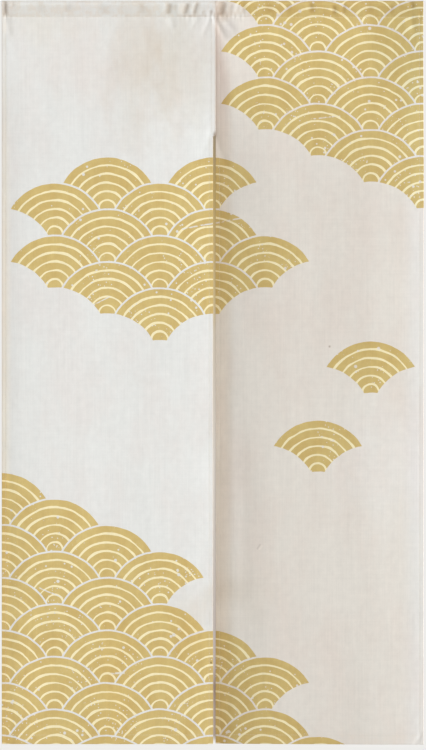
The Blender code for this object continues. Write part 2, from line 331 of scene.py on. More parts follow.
def pocket_outline(double):
    """The rod pocket's outer face at each column, from its back foot over the top to its front foot:
    y and z, the inward normal, the run from the top edge, and how far forward each row lies."""
    front_tilt = math.pi + POCKET_WALL_TILT
    arc = np.linspace(-POCKET_WALL_TILT, front_tilt, 21)
    arc_y = POCKET_RADIUS * np.cos(arc)
    arc_z = POCKET_RADIUS * (np.sin(arc) - 1.0)
    wall = np.array([0.0, 0.06, 0.14, 0.26, 0.40, 0.55, 0.70, 0.85])[:, None]
    back_foot = double + THICK
    back_y = back_foot + wall * (POCKET_MIDDLE + arc_y[0] - back_foot)
    back_z = -HEADING + wall * (arc_z[0] + HEADING)
    front_share = 1.0 - wall[::-1]
    front_y = (POCKET_MIDDLE + arc_y[-1]) * (1.0 - front_share)
    front_z = arc_z[-1] + front_share * (-HEADING - arc_z[-1])
    flat = np.ones_like(double)
    y = np.concatenate([back_y, (POCKET_MIDDLE + arc_y)[:, None] * flat, front_y * flat])
    z = np.concatenate([back_z * flat, arc_z[:, None] * flat, front_z * flat])
    half_wall = len(wall) // 2
    wall_angle = np.concatenate([
        np.linspace(0.0, -POCKET_WALL_TILT, half_wall), np.full(half_wall, -POCKET_WALL_TILT), arc,
        np.full(half_wall, front_tilt), np.linspace(front_tilt, math.pi, half_wall),
    ])[:, None]
    run_steps = np.hypot(np.diff(y, axis=0), np.diff(z, axis=0))
    run = np.concatenate([np.zeros((1, y.shape[1])), np.cumsum(run_steps, axis=0)])
    run = run - run[len(wall) + len(arc) // 2]
    return y, z, -np.cos(wall_angle) * flat, -np.sin(wall_angle) * flat, run


def cloth_rows():
    """Heights below the top edge of a panel's rows: the front from the pocket's stitches to the bottom."""
    return np.concatenate([
        HEADING + np.array([0.0008, 0.0018, 0.0030]),
        steps(HEADING + 0.0045, 0.100, 0.0024),
        steps(0.100, SLIT_TOP - 0.004, 0.0046)[1:],
        SLIT_TOP + np.array([-0.002, 0.0, 0.001, 0.002, 0.003, 0.005]),
        steps(SLIT_TOP + 0.009, 0.420, 0.0060),
        steps(0.420, DROP - BOTTOM_HEM, 0.0082)[1:],
        DROP - np.array([0.0188, 0.0172, 0.014, 0.010, 0.006, 0.003]),
    ])


def hang_cloth(name, side):
    """Lays a grid on the cloth's whole course, gives it its thickness, and marks its sides, doubling and
    painted shade.
    """
    width = HALF - slit_edge(side)
    place, layer, run = cloth_columns(width)
    hemmed = ease((SIDE_HEM - np.minimum(place, width - place)) / 0.001)
    double = LAYER * (1.0 + 2.0 * hemmed)
    out_y, out_z, in_y, in_z, pocket_run = pocket_outline(double)

    def across(below):
        """Each column's X at a height, moved with the inner edge near it."""
        drawn = inner_edge(side, below) - slit_edge(side)
        return side * (slit_edge(side) + place + drawn * (1.0 - ease(place / SLIT_DRAW_REACH)))

    def rows_at(below, behind):
        """X, Y and Z of rows at these heights, each column so far behind the printed face."""
        x = across(below)
        return x, cloth_depth(side, x, below) + THICK / 2 + behind, -below + 0.0 * x

    turned_back = double - layer * LAYER
    flap_below = HEADING + np.array([POCKET_FLAP, POCKET_FLAP / 2])[:, None]
    flap = rows_at(flap_below, turned_back)

    pocket_x = across(np.maximum(-out_z, 0.0))
    forward = ease(-2.0 * (out_y - POCKET_MIDDLE) / POCKET_RADIUS)
    backward = ease(2.0 * (out_y - POCKET_MIDDLE) / POCKET_RADIUS)
    pushed_in = pucker_push(pocket_x, -out_z)
    push = forward * pushed_in - 0.6 * backward * pucker_push(0.93 * pocket_x + 0.011, -out_z)
    push = PUCKER_SOFTENED * push
    near_foot = ease(1.0 - (HEADING + out_z) / POCKET_FOOT_REACH)
    at_foot = fine_depth(side, pocket_x, np.full_like(pocket_x, HEADING)) * near_foot
    inside = THICK / 2 + layer * LAYER
    pocket_y = out_y + in_y * inside + push + at_foot
    top_wave = POCKET_TOP_WAVE * soft_noise(pocket_x * 16.0, 0.0 * out_z, 8.0)
    pocket_z = out_z + in_z * inside + top_wave * ease(1.0 + out_z / HEADING)

    face_below = cloth_rows()[:, None]
    face = rows_at(face_below, layer * LAYER)

    turn = np.radians([0.0, 40.0, 90.0, 140.0, 180.0])[:, None]
    foot_x = across(DROP) + 0.0 * turn
    foot_depth = cloth_depth(side, foot_x, np.full_like(foot_x, DROP)) + inside
    foot_y = foot_depth + (1.0 - np.cos(turn)) / 2 * (double - 2.0 * layer * LAYER)
    foot_z = -(DROP - double / 2) - (double / 2 - layer * LAYER) * np.sin(turn)

    hem_below = DROP - np.array([0.004, 0.007, 0.011, 0.015, 0.018, BOTTOM_HEM])[:, None]
    hem = rows_at(hem_below, turned_back)

    pocket = (pocket_x, pocket_y, pocket_z)
    foot = (foot_x, foot_y, foot_z)
    x, y, z = (np.concatenate(rows) for rows in zip(flap, pocket, face, foot, hem))
    pocket_rows = slice(len(flap_below), len(flap_below) + len(pocket_x))
    face_rows = slice(pocket_rows.stop, pocket_rows.stop + len(face_below))
    foot_run = pocket_run[-1]
    bottom_run = foot_run + DROP - HEADING
    down = np.concatenate([
        pocket_run[0] - flap_below + HEADING,
        pocket_run,
        foot_run + face_below - HEADING,
        bottom_run + turn * LAYER / 2,
        bottom_run + math.pi * LAYER / 2 + DROP - hem_below,
    ])
    bottom_hemmed = ease((face_below - DROP + 0.021) / 0.002)
    doubled = np.full_like(x, HEM_TONE)
    doubled[pocket_rows] = 1.0
    doubled[face_rows] *= np.maximum(hemmed, bottom_hemmed)
    # Painted shade, marked point by point: the seam above the slit, the pushed-in puckers of the pocket, and
    # the folded edge that faces the light, which would otherwise shine
    sewn = 1.0 - ease((-z - SLIT_TOP) / 0.010)
    shaded = SEAM_PAINTED_SHADE * np.exp(-((x - SEAM_X) / SEAM_SHADE_WIDE) ** 2) * sewn
    shaded[pocket_rows] += np.maximum(pushed_in, 0.0) / PUCKER_DEEPEST * forward
    toward_light = place if side < 0 else width - place
    shaded = np.clip(shaded + ease(1.0 - toward_light / EDGE_PAINTED_SHADE[side]), 0.0, 1.0)
    row_count, column_count = x.shape
    flat_x = x + side * (run - place)
    x, y, z, flat_x, down, doubled, shaded = (
        values[::-1, ::side].ravel() for values in (x, y, z, flat_x, down, doubled, shaded))

    bpy.ops.object.select_all(action="DESELECT")
    bpy.ops.mesh.primitive_grid_add(x_subdivisions=column_count - 1, y_subdivisions=row_count - 1)
    cloth = bpy.context.object
    cloth.name = name
    cloth.data.name = name
    mesh = cloth.data
    mesh.vertices.foreach_set("co", np.stack([x, y, z], axis=1).ravel())
    corner_point = np.zeros(len(mesh.loops), int)
    mesh.loops.foreach_get("vertex_index", corner_point)
    flat = np.stack([flat_x[corner_point], -down[corner_point]], axis=1)
    mesh.uv_layers.active.name = "cloth"
    mesh.uv_layers["cloth"].uv.foreach_set("vector", flat.ravel())
    mesh.attributes.new("doubled", "FLOAT", "POINT").data.foreach_set("value", doubled)
    mesh.attributes.new("shaded", "FLOAT", "POINT").data.foreach_set("value", shaded)
    mesh.update()

    thickness = cloth.modifiers.new("thickness", "SOLIDIFY")
    thickness.thickness = THICK
    thickness.offset = 0.0
    bpy.ops.object.modifier_apply(modifier=thickness.name)
    reverse = np.zeros(len(mesh.vertices))
    reverse[row_count * column_count:] = 1.0
    mesh.attributes.new("reverse", "FLOAT", "POINT").data.foreach_set("value", reverse)
    bpy.ops.object.shade_smooth()
    return cloth


left_cloth = hang_cloth("left_cloth", -1)
right_cloth = hang_cloth("right_cloth", 1)


def add_math(tree, operation, *values):
    """A Math node fed by numbers and by other nodes' outputs, and its result."""
    node = tree.nodes.new("ShaderNodeMath")
    node.operation = operation
    for socket, value in zip(node.inputs, values):
        if isinstance(value, bpy.types.NodeSocket):
            tree.links.new(value, socket)
        else:
            socket.default_value = value
    return node.outputs[0]


def times(tree, first, second):
    """Two values multiplied."""
    return add_math(tree, "MULTIPLY", first, second)


def scaled(tree, value, factor, plus):
    """A value times a factor, and then a value added."""
    return add_math(tree, "MULTIPLY_ADD", value, factor, plus)


def squares(tree, first, second):
    """The squares of two values, added."""
    return add_math(tree, "ADD", times(tree, first, first), times(tree, second, second))


def split(tree, vector):
    """The X, Y and Z of a vector, by name."""
    node = tree.nodes.new("ShaderNodeSeparateXYZ")
    tree.links.new(vector, node.inputs[0])
    return node.outputs


def new_group(name, inputs, outputs):
    """An empty shader group with its sockets, and its two end nodes."""
    tree = bpy.data.node_groups.new(name, "ShaderNodeTree")
    for label, kind, value in inputs:
        socket = tree.interface.new_socket(name=label, in_out="INPUT", socket_type=kind)
        if value is not None:
            socket.default_value = value
    for label, kind in outputs:
        tree.interface.new_socket(name=label, in_out="OUTPUT", socket_type=kind)
    return tree, tree.nodes.new("NodeGroupInput"), tree.nodes.new("NodeGroupOutput")


def stretched_noise(tree, vector, across, down, detail, roughness):
    """Noise stretched along the cloth: features across and down, per metre."""
    stretch = tree.nodes.new("ShaderNodeVectorMath")
    stretch.operation = "MULTIPLY"
    tree.links.new(vector, stretch.inputs[0])
    stretch.inputs[1].default_value = (across, down, 1.0)
    texture = tree.nodes.new("ShaderNodeTexNoise")
    texture.inputs["Scale"].default_value = 1.0
    texture.inputs["Detail"].default_value = detail
    texture.inputs["Roughness"].default_value = roughness
    tree.links.new(stretch.outputs[0], texture.inputs["Vector"])
    return texture.outputs["Fac"]


# The weave: threads about 0.7 mm apart, thicker and thinner along their length
tree, given, result = new_group(
    "plain_weave",
    [("Flat", "NodeSocketVector", None), ("Threads", "NodeSocketFloat", 1430.0)],
    [("Height", "NodeSocketFloat"), ("Tone", "NodeSocketFloat")],
)
flat_in = given.outputs["Flat"]
half_turns = times(tree, given.outputs["Threads"], math.pi)
warp = add_math(tree, "SINE", times(tree, split(tree, flat_in)["X"], half_turns))
weft = add_math(tree, "SINE", times(tree, split(tree, flat_in)["Y"], half_turns))
over_under = times(tree, add_math(tree, "ABSOLUTE", warp), add_math(tree, "ABSOLUTE", weft))
warp_slub = stretched_noise(tree, flat_in, 900.0, 14.0, 2.0, 0.6)
weft_slub = stretched_noise(tree, flat_in, 14.0, 900.0, 2.0, 0.6)
slub = add_math(tree, "ADD", warp_slub, weft_slub)
height = scaled(tree, slub, 0.9, times(tree, over_under, 0.5))
tree.links.new(height, result.inputs["Height"])
streaks = stretched_noise(tree, flat_in, 330.0, 9.0, 3.0, 0.65)
cross_streaks = stretched_noise(tree, flat_in, 7.0, 260.0, 3.0, 0.65)
tone = scaled(tree, streaks, 0.65, times(tree, cross_streaks, 0.35))
tree.links.new(tone, result.inputs["Tone"])
plain_weave = tree

# The print: overlapping wave scales, the lower row in front, in three drifts and two scales apart
SCALE_RADIUS = 0.10625
tree, given, result = new_group(
    "wave_scales",
    [("Flat", "NodeSocketVector", None), ("Radius", "NodeSocketFloat", SCALE_RADIUS)],
    [("Reach", "NodeSocketFloat"), ("Column", "NodeSocketFloat"), ("Row", "NodeSocketFloat")],
)
flat = split(tree, given.outputs["Flat"])
radii_x = add_math(tree, "DIVIDE", flat["X"], given.outputs["Radius"])
radii_z = add_math(tree, "DIVIDE", flat["Y"], given.outputs["Radius"])
lowest_row = add_math(tree, "CEIL", scaled(tree, radii_z, 2.0, -2.0))
found = None
for above in (3, 2, 1, 0):
    row = add_math(tree, "ADD", lowest_row, float(above))
    odd = add_math(tree, "FLOORED_MODULO", row, 2.0)
    pair = add_math(tree, "ROUND", times(tree, add_math(tree, "SUBTRACT", radii_x, odd), 0.5))
    column = scaled(tree, pair, 2.0, odd)
    from_x = add_math(tree, "SUBTRACT", radii_x, column)
    from_z = scaled(tree, row, -0.5, radii_z)
    reach = add_math(tree, "SQRT", squares(tree, from_x, from_z))
    here = tree.nodes.new("ShaderNodeCombineXYZ")
    for socket, value in zip(here.inputs, (reach, column, row)):
        tree.links.new(value, socket)
    if found is None:
        found = here.outputs[0]
        continue
    choose = tree.nodes.new("ShaderNodeMix")
    choose.data_type = "VECTOR"
    tree.links.new(add_math(tree, "LESS_THAN", reach, 1.0), choose.inputs["Factor"])
    tree.links.new(found, choose.inputs[4])
    tree.links.new(here.outputs[0], choose.inputs[5])
    found = choose.outputs[1]
for label, socket in zip(("Reach", "Column", "Row"), split(tree, found)):
    tree.links.new(socket, result.inputs[label])
wave_scales = tree

OFF_WHITE = (0.765, 0.764, 0.730, 1.0)
WARM_WHITE = (0.755, 0.728, 0.690, 1.0)
RIGHT_CLOTH_WARMTH = (1.030, 0.975, 0.925)
CREASE_SHADE_TINT = (0.70, 0.62, 0.55)
POCKET_TINT = (0.960, 0.925, 0.890)
LEFT_HEM_SHADE = (0.972, 0.952, 0.928)
LEFT_EDGE_LIGHT = (1.170, 1.130, 1.060)
RIGHT_EDGE_LIGHT = (0.990, 1.020, 1.060)
SEAM_SHADE_HIGH = (0.84, 0.77, 0.75, 1.0)
SEAM_LIGHT_LOW = (1.08, 1.025, 0.965, 1.0)
OCHRE = (0.640, 0.488, 0.190, 1.0)
DEEP_OCHRE = (0.590, 0.424, 0.153, 1.0)
CREAM = (0.900, 0.800, 0.500, 1.0)
PRINT_WANDER = 0.0030
RIM = 0.034
RIM_SOFT = 0.004
ARC_STEP = 0.165
ARC_LINE = 0.036
LINE_UNEVEN = 0.46
LINE_THINNED = 0.22
SCALE_MIDDLE = 0.6 * SCALE_RADIUS
CREST_WAVES = 7.0
CREST_HIGH = 0.06
CREST_SLOPE = -0.85
CREST_AT = -1.30
LONE_SCALES = ((3, -15), (2, -18))

printed_cotton = bpy.data.materials.new("printed_cotton")
printed_cotton.use_nodes = True
tree = printed_cotton.node_tree
principled = tree.nodes["Principled BSDF"]
flat_map = tree.nodes.new("ShaderNodeUVMap")
flat_map.uv_map = "cloth"
flat_out = flat_map.outputs["UV"]


def colour_mix(tree, blend, factor, first, second):
    """A colour Mix node and its result."""
    node = tree.nodes.new("ShaderNodeMix")
    node.data_type = "RGBA"
    node.blend_type = blend
    for socket, value in ((node.inputs[0], factor), (node.inputs[6], first), (node.inputs[7], second)):
        if isinstance(value, bpy.types.NodeSocket):
            tree.links.new(value, socket)
        else:
            socket.default_value = value
    return node.outputs[2]


def tinted(tree, colour, mask, tint):
    """A colour, times a tint where the mask is 1."""
    return colour_mix(tree, "MULTIPLY", mask, colour, (*tint, 1.0))


def attribute(tree, name):
    """One of the cloth's own marks, such as doubled or reverse."""
    node = tree.nodes.new("ShaderNodeAttribute")
    node.attribute_name = name
    return node.outputs["Fac"]


def ramp(tree, value, low, high):
    """A smooth mask: 0 at the low value, 1 at the high one."""
    node = tree.nodes.new("ShaderNodeMapRange")
    node.interpolation_type = "SMOOTHSTEP"
    node.inputs["From Min"].default_value = low
    node.inputs["From Max"].default_value = high
    tree.links.new(value, node.inputs["Value"])
    return node.outputs["Result"]


weave = tree.nodes.new("ShaderNodeGroup")
weave.node_tree = plain_weave
tree.links.new(flat_out, weave.inputs["Flat"])

# A slight wander of the print's edges, as from a hand-cut stencil
wander = tree.nodes.new("ShaderNodeTexNoise")
wander.inputs["Scale"].default_value = 38.0
wander.inputs["Detail"].default_value = 2.0
tree.links.new(flat_out, wander.inputs["Vector"])
centred = tree.nodes.new("ShaderNodeVectorMath")
centred.operation = "MULTIPLY_ADD"
centred.inputs[1].default_value = (PRINT_WANDER, PRINT_WANDER, 0.0)
centred.inputs[2].default_value = (-PRINT_WANDER / 2, -PRINT_WANDER / 2, 0.0)
tree.links.new(wander.outputs["Color"], centred.inputs[0])
moved = tree.nodes.new("ShaderNodeVectorMath")
moved.operation = "ADD"
tree.links.new(flat_out, moved.inputs[0])
tree.links.new(centred.outputs[0], moved.inputs[1])

scales = tree.nodes.new("ShaderNodeGroup")
scales.node_tree = wave_scales
scales.inputs["Radius"].default_value = SCALE_RADIUS
tree.links.new(moved.outputs[0], scales.inputs["Flat"])
reach = scales.outputs["Reach"]
scale_x = times(tree, scales.outputs["Column"], SCALE_RADIUS)
scale_z = scaled(tree, scales.outputs["Row"], SCALE_RADIUS / 2, SCALE_MIDDLE)

crest_wave = add_math(tree, "SINE", scaled(tree, scale_x, CREST_WAVES, 2.0))
crest = scaled(tree, crest_wave, CREST_HIGH, scaled(tree, scale_x, CREST_SLOPE, CREST_AT))
shown = add_math(tree, "LESS_THAN", scale_z, crest)
DRIFTS = (
    {"x": 0.36, "down": -0.03, "wide": 0.34, "high": 0.42},
    {"x": -0.13, "down": 0.50, "wide": 0.27, "high": 0.17},
)


def oval_reach(tree, x, y, oval):
    """The square of how far a place lies from an oval's middle: 1 on its edge."""
    off_x = scaled(tree, x, 1.0 / oval["wide"], -oval["x"] / oval["wide"])
    off_y = scaled(tree, y, 1.0 / oval["high"], oval["down"] / oval["high"])
    return squares(tree, off_x, off_y)


for drift in DRIFTS:
    in_drift = add_math(tree, "LESS_THAN", oval_reach(tree, scale_x, scale_z, drift), 1.0)
    shown = add_math(tree, "MAXIMUM", shown, in_drift)
for lone_column, lone_row in LONE_SCALES:
    same_column = add_math(tree, "COMPARE", scales.outputs["Column"], float(lone_column), 0.5)
    same_row = add_math(tree, "COMPARE", scales.outputs["Row"], float(lone_row), 0.5)
    shown = add_math(tree, "MAXIMUM", shown, times(tree, same_column, same_row))

inside_rim = ramp(tree, reach, 1.0 - RIM + RIM_SOFT, 1.0 - RIM - RIM_SOFT)
from_rim = add_math(tree, "DIVIDE", add_math(tree, "SUBTRACT", 1.0 - RIM, reach), ARC_STEP)
in_step = add_math(tree, "FRACT", from_rim)
line_noise = stretched_noise(tree, flat_out, 22.0, 22.0, 2.0, 0.5)
line_width = scaled(tree, line_noise, LINE_UNEVEN, ARC_LINE / ARC_STEP - LINE_THINNED)
line_start = add_math(tree, "SUBTRACT", 1.0, line_width)
on_line = ramp(tree, add_math(tree, "SUBTRACT", in_step, line_start), -0.02, 0.02)
on_line = times(tree, on_line, add_math(tree, "GREATER_THAN", reach, 0.08))

# Wear where the cloth shows through the ink: fine specks, and pinholes of two sizes that come in groups
PINHOLES = (
    {"per_metre": 62.0, "large": 0.22, "groups": (9.0, 9.0, 3.0, 0.7), "none": 0.43, "full": 0.66},
    {"per_metre": 145.0, "large": 0.20, "groups": (14.0, 10.0, 2.0, 0.6), "none": 0.46, "full": 0.62},
)
worn = ramp(tree, stretched_noise(tree, flat_out, 260.0, 200.0, 4.0, 0.75), 0.64, 0.74)
for pins in PINHOLES:
    cells = tree.nodes.new("ShaderNodeTexVoronoi")
    cells.inputs["Scale"].default_value = pins["per_metre"]
    tree.links.new(flat_out, cells.inputs["Vector"])
    grouped = ramp(tree, stretched_noise(tree, flat_out, *pins["groups"]), pins["none"], pins["full"])
    from_hole = scaled(tree, grouped, -pins["large"], cells.outputs["Distance"])
    worn = add_math(tree, "MAXIMUM", worn, ramp(tree, from_hole, 0.02, -0.03))

# Long thin scuffs in the ink, broken along their length: ends across and down, and width
SCUFFS = (
    {"x": -0.070, "down": 0.468, "to_x": 0.084, "to_down": 0.441, "wide": 0.0022},
    {"x": -0.254, "down": 0.628, "to_x": -0.205, "to_down": 0.602, "wide": 0.0018},
    {"x": -0.206, "down": 1.364, "to_x": -0.172, "to_down": 1.362, "wide": 0.0030},
    {"x": 0.196, "down": 0.246, "to_x": 0.262, "to_down": 0.238, "wide": 0.0018},
    {"x": -0.352, "down": 1.190, "to_x": -0.300, "to_down": 1.212, "wide": 0.0018},
)
on_print = split(tree, moved.outputs[0])


def thin_line(tree, line):
    """A mask of one thin straight line on the flat cloth, soft at its sides and ends."""
    run_x = line["to_x"] - line["x"]
    run_y = line["down"] - line["to_down"]
    length = math.hypot(run_x, run_y)
    start_along = (-line["x"] * run_x + line["down"] * run_y) / length ** 2
    start_across = (-line["x"] * run_y - line["down"] * run_x) / length
    along = scaled(tree, on_print["X"], run_x / length ** 2, start_along - 0.5)
    along = scaled(tree, on_print["Y"], run_y / length ** 2, along)
    across = scaled(tree, on_print["X"], run_y / length, start_across)
    across = scaled(tree, on_print["Y"], -run_x / length, across)
    near = ramp(tree, add_math(tree, "ABSOLUTE", across), line["wide"], 0.3 * line["wide"])
    return times(tree, near, ramp(tree, add_math(tree, "ABSOLUTE", along), 0.50, 0.42))


scuff_breaks = ramp(tree, stretched_noise(tree, flat_out, 130.0, 90.0, 3.0, 0.6), 0.40, 0.52)
for scuff in SCUFFS:
    worn = add_math(tree, "MAXIMUM", worn, times(tree, thin_line(tree, scuff), scuff_breaks))

ink = times(tree, shown, inside_rim)
for hidden, share in ((worn, 0.85), (attribute(tree, "reverse"), 0.62)):
    ink = times(tree, ink, scaled(tree, hidden, -share, 1.0))

mottle = stretched_noise(tree, flat_out, 9.0, 4.0, 5.0, 0.65)
bare = colour_mix(tree, "MIX", ramp(tree, mottle, 0.38, 0.68), OFF_WHITE, WARM_WHITE)
flat_x = split(tree, flat_out)["X"]
flat_y = split(tree, flat_out)["Y"]
on_right_cloth = add_math(tree, "GREATER_THAN", flat_x, SEAM_X)
# The bare right cloth is a little warmer all over
bare = tinted(tree, bare, on_right_cloth, RIGHT_CLOTH_WARMTH)
ink_mottle = stretched_noise(tree, flat_out, 26.0, 18.0, 4.0, 0.65)
gold = colour_mix(tree, "MIX", ramp(tree, ink_mottle, 0.30, 0.75), OCHRE, DEEP_OCHRE)
inked = colour_mix(tree, "MIX", on_line, gold, CREAM)
cloth_colour = colour_mix(tree, "MIX", ink, bare, inked)
streak = ramp(tree, weave.outputs["Tone"], 0.32, 0.68)
broad_streaks = ramp(tree, stretched_noise(tree, flat_out, 120.0, 5.0, 3.0, 0.6), 0.32, 0.68)

# Soft patches on the cloth, partly painted shade and light, partly uneven tone: dusky under the pocket and
# along its stitches, in pucker and fold creases and at the slit's top, pale or warm elsewhere; middle across
# and down, reach each way, and tint
SHADE_LIGHT_AND_TONE_PATCHES = (
    {"x": -0.145, "down": 0.120, "wide": 0.085, "high": 0.210, "tint": (0.930, 0.880, 0.830)},
    {"x": -0.065, "down": 0.140, "wide": 0.085, "high": 0.170, "tint": (0.930, 0.895, 0.850)},
    {"x": 0.390, "down": 0.080, "wide": 0.100, "high": 0.200, "tint": (0.885, 0.895, 0.890)},
    {"x": -0.375, "down": 1.400, "wide": 0.060, "high": 0.260, "tint": (1.055, 1.050, 1.050)},
    {"x": -0.045, "down": 1.270, "wide": 0.060, "high": 0.120, "tint": (0.960, 0.925, 0.880)},
    {"x": -0.195, "down": 1.380, "wide": 0.060, "high": 0.200, "tint": (1.000, 0.970, 0.920)},
    {"x": 0.340, "down": 0.940, "wide": 0.130, "high": 0.170, "tint": (1.025, 1.045, 1.070)},
    {"x": -0.340, "down": 0.050, "wide": 0.110, "high": 0.060, "tint": (0.985, 0.965, 0.935)},
    {"x": 0.060, "down": 1.200, "wide": 0.090, "high": 0.090, "tint": (0.985, 0.975, 0.960)},
    {"x": 0.035, "down": 1.198, "wide": 0.055, "high": 0.034, "tint": (0.940, 0.925, 0.910)},
    {"x": 0.045, "down": 1.420, "wide": 0.065, "high": 0.040, "tint": (0.960, 0.945, 0.930)},
    {"x": -0.003, "down": 1.342, "wide": 0.0022, "high": 0.0034, "tint": (0.340, 0.310, 0.300)},
    {"x": 0.236, "down": 0.704, "wide": 0.0030, "high": 0.0034, "tint": (0.620, 0.560, 0.520)},
    {"x": 0.022, "down": 0.036, "wide": 0.018, "high": 0.018, "tint": (0.840, 0.790, 0.740)},
    {"x": -0.250, "down": 0.130, "wide": 0.160, "high": 0.120, "tint": (0.998, 0.970, 0.955)},
    {"x": 0.034, "down": 0.062, "wide": 0.026, "high": 0.032, "tint": (0.890, 0.900, 0.920)},
    {"x": -0.035, "down": 0.0365, "wide": 0.045, "high": 0.0035, "tint": (0.910, 0.870, 0.840)},
    {"x": -0.100, "down": 0.020, "wide": 0.075, "high": 0.030, "tint": (1.035, 1.050, 1.050)},
    {"x": 0.0040, "down": 0.2770, "wide": 0.0050, "high": 0.0100, "tint": (0.520, 0.440, 0.370)},
)
patch_noise = stretched_noise(tree, flat_out, 22.0, 12.0, 4.0, 0.6)
for patch in SHADE_LIGHT_AND_TONE_PATCHES:
    away = add_math(tree, "SQRT", oval_reach(tree, flat_x, flat_y, patch))
    uneven = scaled(tree, patch_noise, 1.2, add_math(tree, "SUBTRACT", away, 0.6))
    cloth_colour = tinted(tree, cloth_colour, ramp(tree, uneven, 1.15, 0.10), patch["tint"])

# Painted shade and light beside the seam, in a strip of the right cloth that widens downward: darker and
# browner high up, lighter and warmer lower down
flat_down = times(tree, flat_y, -1.0)
strip = add_math(tree, "MINIMUM", scaled(tree, flat_down, 0.18, 0.0022), 0.034)
seam_shade_strip = ramp(tree, add_math(tree, "SUBTRACT", flat_x, strip), 0.014, -0.014)
seam_shade_strip = times(tree, seam_shade_strip, on_right_cloth)
seam_shade_and_light = colour_mix(tree, "MIX", ramp(tree, flat_down, 0.12, 0.40), SEAM_SHADE_HIGH, SEAM_LIGHT_LOW)
cloth_colour = colour_mix(tree, "MULTIPLY", seam_shade_strip, cloth_colour, seam_shade_and_light)

# Where the cloth lies double it is warmer, in blotches along the pocket; the left hem is darker and warmer
# all over, painted shade for less light coming through its two layers
blotches = stretched_noise(tree, flat_out, 75.0, 60.0, 3.0, 0.6)
pocket_mottle = times(tree, ramp(tree, blotches, 0.42, 0.60), attribute(tree, "doubled"))
cloth_colour = tinted(tree, cloth_colour, pocket_mottle, POCKET_TINT)
on_left_hem = ramp(tree, attribute(tree, "doubled"), 0.0, 0.30)
on_left_hem = times(tree, on_left_hem, ramp(tree, flat_x, -0.380, -0.410))
cloth_colour = tinted(tree, cloth_colour, on_left_hem, LEFT_HEM_SHADE)

# A short slanting crease drawn in colour: painted shade on its upper side and painted light below
CREASE_SHADE_MARKS = (
    {"x": 0.09, "down": 1.1135, "to_x": 0.097, "to_down": 1.1025, "wide": 0.0024, "tint": (0.88, 0.87, 0.86)},
    {"x": 0.0945, "down": 1.115, "to_x": 0.101, "to_down": 1.105, "wide": 0.0026, "tint": (1.07, 1.07, 1.07)},
)
for mark in CREASE_SHADE_MARKS:
    cloth_colour = tinted(tree, cloth_colour, thin_line(tree, mark), mark["tint"])

# Painted light: the outermost strip of each cloth is lighter, warm on the left and cool on the right
left_edge_light = times(tree, ramp(tree, flat_x, -0.403, -0.418), ramp(tree, flat_down, 0.08, 0.50))
cloth_colour = tinted(tree, cloth_colour, left_edge_light, LEFT_EDGE_LIGHT)
cloth_colour = tinted(tree, cloth_colour, ramp(tree, flat_x, 0.375, 0.412), RIGHT_EDGE_LIGHT)

# Painted shade: creases, puckers, the seam above the slit and the folded edges that face the light are darker
# and browner
painted_crease_shade = times(tree, attribute(tree, "shaded"), 0.72)
painted_shade_colour = tinted(tree, cloth_colour, 1.0, CREASE_SHADE_TINT)
cloth_colour = colour_mix(tree, "MIX", painted_crease_shade, cloth_colour, painted_shade_colour)

# Thick and thin threads and small blotches make the whole cloth a little lighter and darker
shade = 0.8985
for uneven_tone, strength in ((broad_streaks, 0.018), (streak, 0.045), (blotches, 0.140)):
    shade = scaled(tree, uneven_tone, strength, shade)
toned = tree.nodes.new("ShaderNodeVectorMath")
toned.operation = "SCALE"
tree.links.new(cloth_colour, toned.inputs[0])
tree.links.new(shade, toned.inputs["Scale"])
tree.links.new(toned.outputs[0], principled.inputs["Base Color"])
bump = tree.nodes.new("ShaderNodeBump")
bump.inputs["Strength"].default_value = 0.5
bump.inputs["Distance"].default_value = 0.00012
tree.links.new(weave.outputs["Height"], bump.inputs["Height"])
tree.links.new(bump.outputs["Normal"], principled.inputs["Normal"])
for label, value in (("Roughness", 0.92), ("Specular IOR Level", 0.2), ("Sheen Weight", 0.08)):
    principled.inputs[label].default_value = value

CLOTHS = (
    {"piece": left_cloth, "flat_wide": 0.447, "nodes": ("left_panel", "left_heading")},
    {"piece": right_cloth, "flat_wide": 0.438, "nodes": ("right_panel", "right_heading")},
)
for cloth in CLOTHS:
    cloth["piece"].data.materials.append(printed_cotton)
    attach(cloth["piece"], "root")
    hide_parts(*cloth["nodes"])

# The sewing is off-white cotton thread: lock stitches about 3 mm long under the pocket and along every
# hem, seen on both faces, a bar tack at the slit's top, and slanting stitches that close the seam behind.
STITCH_PITCH = 0.0032
STITCH_LONG = 0.0024
STITCH_WIDE = 0.00050
STITCH_HIGH = 0.00022
STITCH_RING = 6
HEM_BACK = LAYER + THICK
SIDE_STITCH = 0.0076
BOTTOM_STITCH = 0.0182
POCKET_STITCH = 0.0006
ROW_END = 0.001


def stitched_rows(side, start, end, pitch, drift):
    """Ends of the stitches along one line of sewing, as (X, below) pairs that wander a little."""
    length = math.hypot(end[0] - start[0], end[1] - start[1])
    count = int(length / pitch)
    middle = (np.arange(count) + 0.5) / count
    half_stitch = STITCH_LONG / 2 / length
    wander = drift * soft_noise(middle * length * 30.0, np.full(count, start[0] * 50.0), 11.0)
    normal = ((end[1] - start[1]) / length, -(end[0] - start[0]) / length)
    ends = []
    for share in (middle - half_stitch, middle + half_stitch):
        x = start[0] + share * (end[0] - start[0]) + normal[0] * wander
        below = start[1] + share * (end[1] - start[1]) + normal[1] * wander
        ends.append(np.stack([x, below], axis=1))
    return ends


